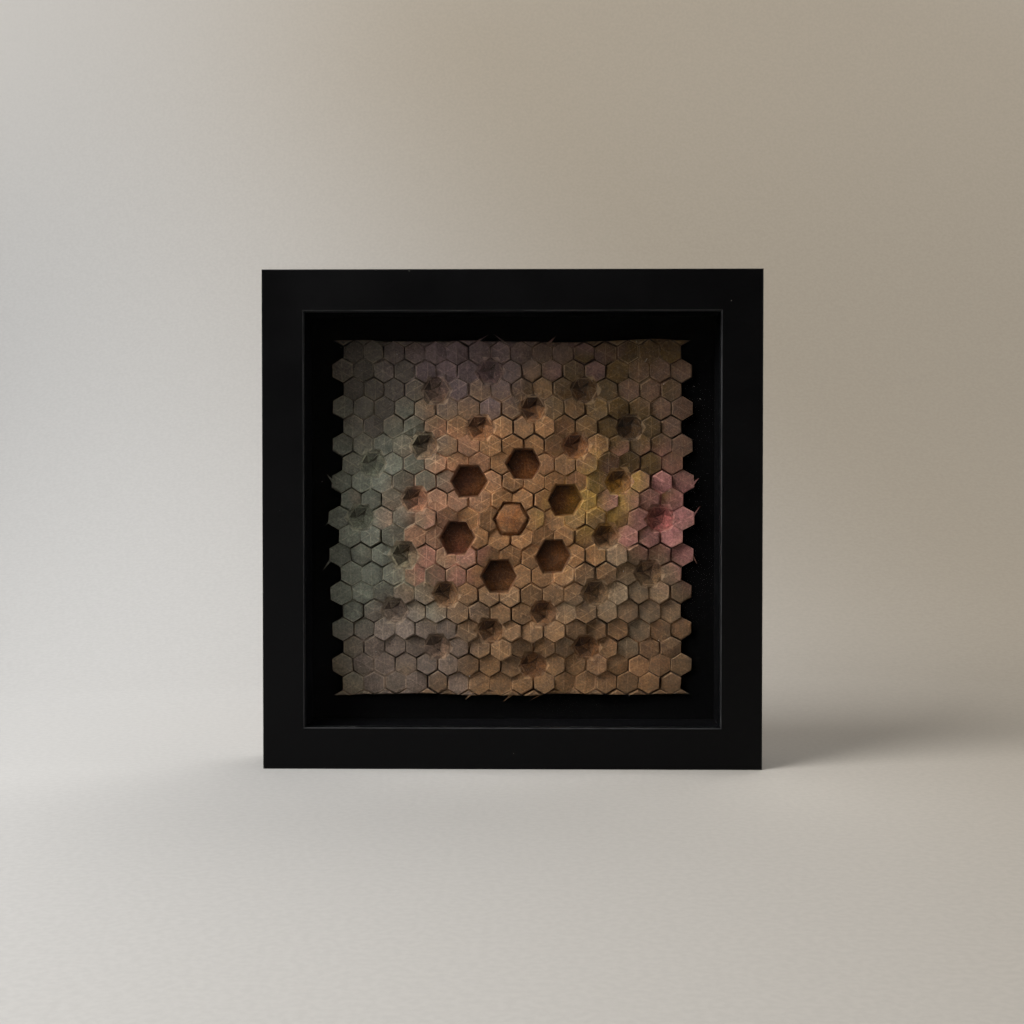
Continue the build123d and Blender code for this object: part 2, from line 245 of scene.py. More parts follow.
def make_worn_edges():
    """A broken mask along the edges of a piece, where its finish is rubbed."""
    inputs = {"Radius": 0.6 * MM, "Break size": 8 * MM, "Least": 0.42}
    tree, start, end = new_group("worn edges", inputs, {"Mask": 0.0})
    rounded = node(tree, "Bevel", {"Radius": start["Radius"]}, samples=6).outputs[0]
    normal = node(tree, "NewGeometry").outputs["Normal"]
    turn = math_of(tree, "SUBTRACT", 1.0, vector_of(tree, "DOT_PRODUCT", rounded, normal))
    edge = ramp(tree, turn, *EDGE_TURN)
    broken = clouds(tree, own_place(tree), start["Break size"], detail=5.0, roughness=0.7)
    top = math_of(tree, "ADD", start["Least"], BREAK_SOFT)
    feed(tree, end["Mask"], times(tree, edge, ramp(tree, broken, start["Least"], top)))
    return tree


def make_dust_flecks():
    """A few pale flecks, far apart."""
    inputs = {"Spacing": 10 * MM, "Size": 0.03, "Share": 0.4}
    tree, start, end = new_group("dust flecks", inputs, {"Mask": 0.0})
    place = scaled(tree, own_place(tree), start["Spacing"])
    cells = node(tree, "TexVoronoi", {"Vector": place, "Scale": 1.0})
    rim = times(tree, start["Size"], FLECK_CORE)
    fleck_mask = ramp(tree, cells.outputs["Distance"], rim, start["Size"], 1.0, 0.0)
    draw = node(tree, "SeparateColor", {0: cells.outputs["Color"]}).outputs[0]
    chosen = math_of(tree, "LESS_THAN", draw, start["Share"])
    feed(tree, end["Mask"], times(tree, fleck_mask, chosen))
    return tree


def make_dye_wash():
    """One soft field of dye laid over the colours under it."""
    inputs = {
        "Under": grey(0.1), "Dye": grey(0.1), "Place": (0.0, 0.0, 0.0),
        "Middle": (0.0, 0.0, 0.0), "Reach": (1.0, 1.0, 1.0), "Strength": 1.0,
    }
    tree, start, end = new_group("dye wash", inputs, {"Colour": grey(0.1)})
    arm = vector_of(tree, "SUBTRACT", start["Place"], start["Middle"])
    arm = vector_of(tree, "DIVIDE", arm, start["Reach"])
    share = ramp(tree, vector_of(tree, "LENGTH", arm), WASH_CORE, 1.0, 1.0, 0.0)
    feed(tree, end["Colour"], tinted(tree, start["Under"], start["Dye"], share, start["Strength"]))
    return tree


FINE_GRAIN = make_fine_grain()
WORN_EDGES = make_worn_edges()
DUST_FLECKS = make_dust_flecks()
DYE_WASH = make_dye_wash()


# Finishes

LIP_HIGHLIGHT_OFF = 0.35 * MM  # from the edge of the opening out to the middle of the painted highlight
LIP_HIGHLIGHT = (0.10 * MM, 0.32 * MM)  # half widths of that painted highlight's core and soft edge
LIP_HIGHLIGHT_DEPTH = (0.6 * MM, 1.0 * MM)  # behind the front, where that painted highlight ends
MITRE_BAND = (1.2 * MM, 3.0 * MM)  # beside the mitres, where the foil isn't rubbed


def new_finish(name):
    """A material with one shader. Gives the material, its tree, the shader and the output."""
    finish = bpy.data.materials.new(name)
    finish.use_nodes = True
    tree = finish.node_tree
    tree.nodes.clear()
    shader = node(tree, "BsdfPrincipled")
    output = node(tree, "OutputMaterial", {"Surface": shader.outputs[0]})
    return finish, tree, shader, output


def set_inputs(tree, shader, **inputs):
    for label, value in inputs.items():
        feed(tree, shader.inputs[label.replace("_", " ")], value)


def bump(tree, height, distance):
    return node(tree, "Bump", {"Height": height, "Distance": distance, "Strength": 1.0}).outputs[0]


def from_middle(tree):
    """Distances across and up from the frame's middle."""
    arm = vector_of(tree, "ABSOLUTE", vector_of(tree, "SUBTRACT", own_place(tree), tuple(MIDDLE)))
    parts = node(tree, "SeparateXYZ", {0: arm}).outputs
    return parts["X"], parts["Z"]


def off_mitres(tree):
    """A mask that leaves out the mitres, which are glued and filled."""
    across, up = from_middle(tree)
    off = math_of(tree, "ABSOLUTE", math_of(tree, "SUBTRACT", across, up))
    return ramp(tree, off, *MITRE_BAND)


def painted_lip_highlight(tree):
    """A thin painted highlight where the foil turns over the front edge of the opening."""
    across, up = from_middle(tree)
    out = math_of(tree, "SUBTRACT", math_of(tree, "MAXIMUM", across, up), LIP_EDGE + LIP_HIGHLIGHT_OFF)
    line = ramp(tree, math_of(tree, "ABSOLUTE", out), *LIP_HIGHLIGHT, 1.0, 0.0)
    depth = node(tree, "SeparateXYZ", {0: own_place(tree)}).outputs["Y"]
    front = ramp(tree, depth, *(FRONT + off for off in LIP_HIGHLIGHT_DEPTH), 1.0, 0.0)
    broken = ramp(tree, clouds(tree, own_place(tree), 14 * MM, detail=4.0), 0.25, 0.6, start=0.35, end=1.0)
    return times(tree, line, front, broken)


def black_foil():
    """The rails: satin black foil, rubbed at the arrises, with a little dust and a painted highlight along
    the opening.
    """
    finish, tree, shader, _ = new_finish("black foil")
    grain = placed(tree, FINE_GRAIN, size=0.6 * MM)
    worn = placed(tree, WORN_EDGES, radius=0.7 * MM, break_size=9 * MM, least=0.40)["Mask"]
    worn = times(tree, worn, off_mitres(tree))
    dust = placed(tree, DUST_FLECKS, spacing=9 * MM, size=0.028, share=0.35)["Mask"]
    smears = clouds(tree, own_place(tree), 45 * MM, detail=4.0)
    tone = mixed(tree, grain["Tone"], colour(3, 3, 4), colour(7, 7, 8))
    tone = tinted(tree, tone, colour(70, 69, 68), worn, share=0.45)
    # painted highlight along the front edge of the opening
    tone = tinted(tree, tone, colour(66, 66, 67), painted_lip_highlight(tree), share=0.8)
    tone = tinted(tree, tone, colour(150, 148, 142), dust, share=0.7)
    rough = ramp(tree, smears, *CLOUD_RANGE, start=0.30, end=0.42)
    rough = math_of(tree, "ADD", rough, times(tree, dust, 0.3))
    set_inputs(tree, shader, Base_Color=tone, Roughness=rough, Specular_IOR_Level=0.12)
    set_inputs(tree, shader, Normal=bump(tree, grain["Height"], distance=0.03 * MM))
    return finish


def black_spacer():
    """The spacers: matt black strips with a fine cut grain."""
    finish, tree, shader, _ = new_finish("black spacer")
    grain = placed(tree, FINE_GRAIN, size=0.35 * MM)
    worn = placed(tree, WORN_EDGES, radius=0.5 * MM, break_size=6 * MM, least=0.46)["Mask"]
    tone = mixed(tree, grain["Tone"], colour(1, 1, 2), colour(4, 4, 5))
    tone = tinted(tree, tone, colour(52, 51, 50), worn, share=0.5)
    rough = ramp(tree, grain["Tone"], 0.0, 1.0, start=0.82, end=0.94)
    set_inputs(tree, shader, Base_Color=tone, Roughness=rough, Specular_IOR_Level=0.05)
    set_inputs(tree, shader, Normal=bump(tree, grain["Height"], distance=0.03 * MM))
    return finish


def black_card():
    """The mount card: matt black, with a felted grain."""
    finish, tree, shader, _ = new_finish("black card")
    grain = placed(tree, FINE_GRAIN, size=0.8 * MM)
    dust = placed(tree, DUST_FLECKS, spacing=11 * MM, size=0.02, share=0.3)["Mask"]
    tone = mixed(tree, grain["Tone"], colour(1, 1, 1), colour(3, 3, 3))
    tone = tinted(tree, tone, colour(90, 86, 80), dust, share=0.4)
    rough = ramp(tree, grain["Tone"], 0.0, 1.0, start=0.86, end=0.97)
    set_inputs(tree, shader, Base_Color=tone, Roughness=rough, Specular_IOR_Level=0.05)
    set_inputs(tree, shader, Normal=bump(tree, grain["Height"], distance=0.03 * MM))
    return finish


def fibreboard():
    """The back: brown pressed fibre, flecked and a little scuffed."""
    finish, tree, shader, _ = new_finish("fibreboard")
    grain = placed(tree, FINE_GRAIN, size=1.6 * MM)
    flecks = placed(tree, DUST_FLECKS, spacing=3 * MM, size=0.16, share=0.5)["Mask"]
    worn = placed(tree, WORN_EDGES, radius=0.8 * MM, break_size=7 * MM, least=0.42)["Mask"]
    blotch = clouds(tree, own_place(tree), 38 * MM, detail=5.0, roughness=0.6)
    tone = mixed(tree, ramp(tree, blotch, *CLOUD_RANGE), colour(122, 87, 55), colour(150, 112, 76))
    tone = tinted(tree, tone, colour(99, 67, 40), grain["Tone"], share=0.45)
    tone = tinted(tree, tone, colour(80, 53, 32), flecks, share=0.5)
    tone = tinted(tree, tone, colour(178, 146, 110), worn, share=0.6)
    rough = ramp(tree, grain["Tone"], 0.0, 1.0, start=0.55, end=0.8)
    set_inputs(tree, shader, Base_Color=tone, Roughness=rough)
    set_inputs(tree, shader, Normal=bump(tree, grain["Height"], distance=0.12 * MM))
    return finish


def zinc_steel():
    """Tabs, hanger, rivets and nails: bright zinc on steel, clouded and rubbed at the edges."""
    finish, tree, shader, _ = new_finish("zinc steel")
    grain = placed(tree, FINE_GRAIN, size=0.5 * MM)
    worn = placed(tree, WORN_EDGES, radius=0.25 * MM, break_size=3 * MM, least=0.38)["Mask"]
    spangle = node(tree, "TexVoronoi", {"Vector": scaled(tree, own_place(tree), 2.5 * MM), "Scale": 1.0})
    patch = node(tree, "SeparateColor", {0: spangle.outputs["Color"]}).outputs[1]
    tone = mixed(tree, patch, colour(150, 150, 146), colour(184, 183, 178))
    tone = tinted(tree, tone, colour(118, 116, 110), grain["Tone"], share=0.3)
    tone = mixed(tree, worn, tone, colour(214, 212, 206))
    rough = ramp(tree, math_of(tree, "ADD", patch, grain["Tone"]), 0.2, 1.6, start=0.28, end=0.5)
    set_inputs(tree, shader, Base_Color=tone, Roughness=rough, Metallic=1.0)
    set_inputs(tree, shader, Normal=bump(tree, grain["Height"], distance=0.02 * MM))
    return finish


def clear_glazing():
    """The glazing: clear, coated against reflections. Lamps shine through it."""
    finish, tree, shader, output = new_finish("clear glazing")
    haze = clouds(tree, own_place(tree), 60 * MM, detail=4.0)
    set_inputs(tree, shader, Base_Color=grey(1.0), IOR=1.45, Transmission_Weight=1.0)
    set_inputs(tree, shader, Specular_Tint=(0.015, 0.0145, 0.016, 1.0))
    set_inputs(tree, shader, Roughness=ramp(tree, haze, 0.35, 0.7, start=0.0, end=0.012))
    clear = node(tree, "BsdfTransparent").outputs[0]
    shadow = node(tree, "LightPath").outputs["Is Shadow Ray"]
    both = node(tree, "MixShader", {0: shadow, 1: shader.outputs[0], 2: clear})
    feed(tree, output.inputs["Surface"], both.outputs[0])
    return finish


def lint():
    """Dust and short fibres on the glazing."""
    finish, tree, shader, _ = new_finish("lint")
    tone = ramp(tree, clouds(tree, own_place(tree), 4 * MM), *CLOUD_RANGE)
    set_inputs(tree, shader, Base_Color=mixed(tree, tone, colour(120, 118, 112), colour(196, 194, 188)))
    set_inputs(tree, shader, Roughness=ramp(tree, tone, 0.0, 1.0, start=0.8, end=1.0))
    return finish


# Dyed paper

TILE_DRIFT = 26 * MM  # spread of the places on the flat sheet that a tile's dye may come from
DRIFT_DRAWS = (7.1, 13.7)  # make two draws of a tile's one, across and up
BLEED_SIZE, BLEED = 22 * MM, 34 * MM  # of the ragged edges of the dye
CREASE_DRAWS = (5.3, 8.4, 11.5)  # make three draws of a tile's one, one for each way of the lines
CREASE_STEP = 0.25  # half the spacing of the lines, in pitches
CREASE_START = 50.0  # keeps the places on a tile above zero
CREASE_LINE = (0.008, 0.032)  # half widths of a line's core and soft edge, in pitches
WORKED_REACH = (45 * MM, 100 * MM)  # the creases are rubbed most near the middle
WORKED_LEAST = 0.45
FIBRE_WAYS = 3
FIBRE_TURN = math.radians(17)
FIBRE_LAYER = 5.0  # from the noise of one way to that of the next
STRAND_LENGTH, STRAND_WIDTH = 3.2 * MM, 0.45 * MM
STRAND_CUT = (0.54, 0.70)
TILE_TONES = (0.78, 1.06)  # darkest and lightest factors, from tile to tile
MOTTLE_TONES = (0.76, 1.20)
GRAIN_TONES = (0.74, 1.16)
PAPER_CONTRAST = (1.08, 1.14)  # gamma and gain
INSIDE_CONTRAST = (1.35, 2.35)  # the same for the walls and floors between the tiles
PALE_GAIN, PALE_SHARE = 2.0, 0.2  # rubbed paper: lighter, with a share of bare fibre
BARE_FIBRE = colour(182, 160, 130)
FIBRES_RUBBED, LINES_RUBBED, TILES_RUBBED, WALLS_RUBBED = 0.30, 0.75, 0.75, 0.5
# painted shade: the colour laid where the deep mark is, in pleats, pits and wells
PAINTED_SHADE_COLOUR = colour(68, 46, 27)
DEEP_RANGE = (0.25, 1.0)
LINE_RISE, FIBRE_RISE = 1.2, 0.5  # in the bump, beside the grain
PAPER_GROUND = colour(96, 76, 55)
WASHES = {
    # name: (colour, middle from the frame's middle, reach, strength), across and up in mm
    "slate": (colour(93, 96, 86), (-88, -6), (72, 120), 0.95),
    # ash, mauve and olive at the top are dyed darker partly as painted shade from the frame's rails
    "ash": (colour(54, 49, 43), (-80, 84), (88, 62), 0.95),
    "mauve": (colour(80, 66, 69), (-6, 88), (66, 52), 0.9),
    "olive": (colour(62, 44, 10), (60, 64), (92, 82), 1.0),
    "rose": (colour(126, 83, 80), (90, 4), (46, 48), 0.95),
    "ochre": (colour(113, 80, 48), (2, 4), (78, 74), 0.95),
    "blush": (colour(122, 88, 72), (-42, 14), (34, 36), 0.6),
    "moss": (colour(101, 88, 70), (52, -36), (32, 34), 0.6),
    "sand": (colour(99, 72, 44), (24, -84), (104, 42), 0.85),
    "lilac": (colour(97, 85, 78), (-58, -70), (46, 42), 0.8),
    "peach": (colour(138, 98, 72), (-24, 34), (22, 12), 0.6),
    "teal": (colour(74, 79, 69), (-58, 30), (22, 26), 0.6),
    "umber": (colour(92, 60, 38), (30, 30), (26, 18), 0.5),
    "plum": (colour(98, 72, 76), (34, 86), (20, 16), 0.45),
    "straw": (colour(124, 98, 38), (42, 12), (28, 30), 0.75),
    "taupe": (colour(88, 64, 54), (90, 62), (28, 40), 0.6),
    "pink": (colour(130, 86, 78), (-30, -20), (18, 20), 0.55),
    "clay": (colour(110, 78, 50), (66, -66), (28, 22), 0.6),
}


def new_draw(tree, steps):
    """Another draw from 0 to 1, made of a tile's own."""
    return math_of(tree, "FRACT", times(tree, point_value(tree, "tone"), steps))


def tile_drift(tree):
    """Neighbouring tiles come from places apart on the flat sheet, so their dyes differ."""
    reach = times(tree, point_value(tree, "tile"), TILE_DRIFT)
    ways = []
    for steps in DRIFT_DRAWS:
        way = math_of(tree, "SUBTRACT", new_draw(tree, steps), 0.5)
        ways.append(times(tree, way, reach))
    return node(tree, "CombineXYZ", {"X": ways[0], "Z": ways[1]}).outputs[0]


def dyed_colour(tree):
    """The fields of dye, with bled edges. Those at the top are darker partly as painted shade."""
    place = own_place(tree)
    drift = node(tree, "TexNoise", {"Vector": scaled(tree, place, BLEED_SIZE), "Scale": 1.0, "Detail": 4.0})
    drift = vector_of(tree, "SUBTRACT", drift.outputs["Color"], (0.5, 0.5, 0.5))
    bled = vector_of(tree, "ADD", place, vector_of(tree, "MULTIPLY", drift, (BLEED, 0, BLEED)))
    bled = vector_of(tree, "ADD", bled, tile_drift(tree))
    tone = PAPER_GROUND
    for dye, (x, z), (reach_x, reach_z), strength in WASHES.values():
        middle = (x * MM, 0, MIDDLE.z + z * MM)
        reach = (reach_x * MM, 1.0, reach_z * MM)
        field = {"middle": middle, "reach": reach, "strength": strength}
        tone = placed(tree, DYE_WASH, place=bled, dye=dye, under=tone, **field)["Colour"]
    return tone


def crease_lines(tree):
    """Fine lines of the folding grid on each tile, in three ways through its middle."""
    place = point_value(tree, "crease_place", "Vector")
    lines = 0.0
    for number, steps in enumerate(CREASE_DRAWS):
        angle = number * math.pi / len(CREASE_DRAWS)
        across = vector_of(tree, "DOT_PRODUCT", place, (math.cos(angle), 0, math.sin(angle)))
        off = math_of(tree, "PINGPONG", math_of(tree, "ADD", across, CREASE_START), CREASE_STEP)
        line = ramp(tree, off, *CREASE_LINE, 1.0, 0.0)
        line = times(tree, line, ramp(tree, new_draw(tree, steps), 0.25, 0.75, start=0.1, end=1.0))
        lines = math_of(tree, "MAXIMUM", lines, line)
    broken = ramp(tree, clouds(tree, own_place(tree), 2.5 * MM, detail=4.0), 0.34, 0.58)
    far = vector_of(tree, "LENGTH", vector_of(tree, "SUBTRACT", own_place(tree), tuple(MIDDLE)))
    worked = ramp(tree, far, *WORKED_REACH, start=1.0, end=WORKED_LEAST)
    return times(tree, lines, broken, point_value(tree, "tile"), worked)


def paper_fibres(tree):
    """Short pale fibres that lie in three ways."""
    place = own_place(tree)
    strands = 0.0
    for number in range(FIBRE_WAYS):
        angle = FIBRE_TURN + number * math.pi / FIBRE_WAYS
        along = vector_of(tree, "DOT_PRODUCT", place, (math.cos(angle), 0, math.sin(angle)))
        across = vector_of(tree, "DOT_PRODUCT", place, (-math.sin(angle), 0, math.cos(angle)))
        along = math_of(tree, "DIVIDE", along, STRAND_LENGTH)
        across = math_of(tree, "DIVIDE", across, STRAND_WIDTH)
        lie = node(tree, "CombineXYZ", {"X": along, "Y": across, "Z": FIBRE_LAYER * number}).outputs[0]
        strand = node(tree, "TexNoise", {"Vector": lie, "Scale": 1.0, "Detail": 2.0}).outputs[0]
        strands = math_of(tree, "MAXIMUM", strands, ramp(tree, strand, *STRAND_CUT))
    return strands


def tile_folds(tree):
    """Where the outlines of the tiles are rubbed."""
    fold = ramp(tree, point_value(tree, "fold"), 0.35, 0.95)
    return times(tree, fold, ramp(tree, clouds(tree, own_place(tree), 4 * MM, detail=4.0), 0.36, 0.62))


def wall_folds(tree, inside):
    """Where the folds between the tiles are rubbed."""
    folds = placed(tree, WORN_EDGES, radius=0.35 * MM, break_size=4 * MM, least=0.34)["Mask"]
    return times(tree, folds, inside)


def contrasted(tree, tone, gamma, gain):
    """A colour with more contrast and richer darks."""
    return toned(tree, node(tree, "Gamma", {"Color": tone, "Gamma": gamma}).outputs[0], grey(gain))


def dyed_paper():
    """The folded sheet: dyed fibrous paper, pale where folds and creases have rubbed, with painted shade in
    its pleats, pits and wells.
    """
    finish, tree, shader, _ = new_finish("dyed paper")
    grain = placed(tree, FINE_GRAIN, size=1.1 * MM)
    mottle = clouds(tree, own_place(tree), 5 * MM, detail=5.0, roughness=0.65)
    lines = crease_lines(tree)
    fibres = paper_fibres(tree)
    inside = math_of(tree, "SUBTRACT", 1.0, point_value(tree, "tile"))
    tone = dyed_colour(tree)
    tone = toned(tree, tone, ramp(tree, point_value(tree, "tone"), 0.0, 1.0, *TILE_TONES))
    tone = toned(tree, tone, ramp(tree, mottle, *CLOUD_RANGE, *MOTTLE_TONES))
    tone = toned(tree, tone, ramp(tree, grain["Tone"], 0.0, 1.0, *GRAIN_TONES))
    tone = contrasted(tree, tone, *PAPER_CONTRAST)
    tone = mixed(tree, inside, tone, contrasted(tree, tone, *INSIDE_CONTRAST))
    pale = mixed(tree, PALE_SHARE, toned(tree, tone, grey(PALE_GAIN)), BARE_FIBRE)
    tone = tinted(tree, tone, pale, fibres, FIBRES_RUBBED)
    tone = tinted(tree, tone, pale, lines, LINES_RUBBED)
    tone = tinted(tree, tone, pale, tile_folds(tree), TILES_RUBBED)
    tone = tinted(tree, tone, pale, wall_folds(tree, inside), WALLS_RUBBED)
    # painted shade in the bottoms of the pleats and in the pits and wells
    deep = ramp(tree, point_value(tree, "deep"), *DEEP_RANGE)
    tone = mixed(tree, deep, tone, toned(tree, tone, PAINTED_SHADE_COLOUR))
    height = math_of(tree, "ADD", grain["Height"], times(tree, lines, LINE_RISE))
    height = math_of(tree, "ADD", height, times(tree, fibres, FIBRE_RISE))
    rough = ramp(tree, mottle, *CLOUD_RANGE, start=0.78, end=0.95)
    set_inputs(tree, shader, Base_Color=tone, Roughness=rough, Specular_IOR_Level=0.3)
    set_inputs(tree, shader, Normal=bump(tree, height, distance=0.10 * MM))
    return finish


# Folded sheet

NOISE_SEED = 5  # ripples and wander are the same each run
LOT_STRIDE = 1000  # keeps the seeds of one row or column apart from those of the next
LOT_STEPS = (8, 12)  # places on the pleats that have a seed of their own, in a pitch and in a row
WELD = 1e-6
FRONT_FACING = 0.02  # least share of a facet's normal that points to the front
TILE_FACING = 0.95
LEAST_STEP = 0.3 * MM  # from a tile down to what is beside it
FLAT_ANGLE = math.radians(0.5)
CREASE_ANGLE = math.radians(6)
TILE_SHIFT = 0.42 * MM
TILE_LIFT = 0.85 * MM
TILE_TILT = 0.13
TILE_LEAN = 0.25  # of the tiles around a well or pit, down towards it
TILE_GROWTH = 0.055
TILE_CROWN = (-0.10 * MM, 0.22 * MM)
CORNER_WARP = 0.12 * MM
BENT_SHARE = 0.5  # of the tiles, each bent along a line through its middle
BENT_DROP = (0.45 * MM, 1.25 * MM)
BEND_OFF = 0.3 * PITCH  # corners further than this past that line are bent down
BEND_BAND = 0.2 * PITCH  # corners nearer than this lie on the line
CREASE_SHIFT = 0.10  # of the folding grid on a tile, in pitches
FOLD_WIDTH = 0.42 * MM  # of the rounded outline of a tile
FOLD_RISE = 0.10 * MM
MERGED_SHARE = 0.30  # of the pleats' junctions, where tiles run together
MERGED_SWING = 0.75  # of that share, from patch to patch
MERGED_PATCH = 34 * MM
MERGE_RISE = (0.45, 1.0)  # how far up such a junction is closed
PAIRED_SHARE = 0.12  # of the pleats, each closed to make one long tile of two
PAIR_RISE = 0.96
PIT_DEEP, WELL_DEEP = 0.78, 0.52  # how much painted shade the floors of pits and wells get
SAME_DEEP, PIT_DEEPER = 0.01, 0.1  # limits that tell such floors apart
FLOOR_LEVEL = SHEET_HIGH.y - 1.0 * MM  # floors behind this lie on the card
FLOOR_FOLD = 1.3 * MM  # rise of the fold across the floor of a well
FLOOR_PAINTED_SHADE = 0.30  # how much darker that floor is painted at one side than in its middle, as painted shade
# the side of a well's floor that lies in painted shade, towards the key lamp
FLOOR_PAINTED_SHADE_SIDE = Vector((-0.7, 0, 0.7))
PIT_FOLD_WIDTH = 0.30 * MM
PIT_FOLD = 0.9  # how much the folds of a pit are rubbed
PIT_FACET_PAINTED_SHADES = (0.72, 0.10)  # painted shade on a pit's facet, from one that faces away from the key lamp to one that faces it
# the way towards the key lamp
KEY_LAMP_SIDE = Vector((-0.64, -0.44, 0.64))
LONGEST_EDGE = 2.7 * MM
SPLIT_ROUNDS = 3
COCKLE_SIZE, COCKLE = 19 * MM, 1.3 * MM
COCKLE_OFF = 0.35  # share of a wave by which the paper lifts off the card
RIPPLE_SIZE, RIPPLE = 3.2 * MM, 0.09 * MM
WANDER_SIZE, WANDER = 45 * MM, 1.6 * MM
SIDE_BOW = 1.6 * MM  # the left and right sides bow out by this in their middle
SHEET_PULL = 0.012  # share by which the pleats pull the sheet in, across
SHEET_OFF = -0.8 * MM  # the sheet is set a little to the left
TIP_SEED = 23
TIPS_PER_SIDE = 3
TIP_LENGTH = (2.0 * MM, 3.4 * MM)
TIP_LEAN = (1.0, 2.0)
TIP_WIDTH = 2.6 * MM
TIP_ROOT = 1.4 * MM  # length under the edge of the sheet
TIP_SPREAD = 2 * ROW  # along a side, from one tile at its edge to the next
TIP_STRAY = 0.12  # of that spread
TIP_LEVEL = 2.4 * MM  # above the card
TIP_FORWARD = (0.2 * MM, 1.2 * MM)
TIP_RIDGE = (0.3 * MM, 0.7 * MM)
TIP_TONE, TIP_FOLD = 0.4, 0.3
TIP_CREASE = Vector((0.13, 0, 0.02))  # between the lines of the folding grid
PAPER = 0.35 * MM


def is_feature(column, row):
    """Whether a cell of the grid is one that can hold a well or pit."""
    return (column + FEATURE_STEP * row) % FEATURE_EVERY == 0


def is_inside(column, row):
    """Whether a cell of the grid lies inside the sides of the sheet."""
    return abs(row) < SHEET_ROWS and abs(column + row / 2) < SHEET_HALF


def heading(angle):
    """A direction in the plane of the sheet."""
    return Vector((math.cos(angle), 0, math.sin(angle)))


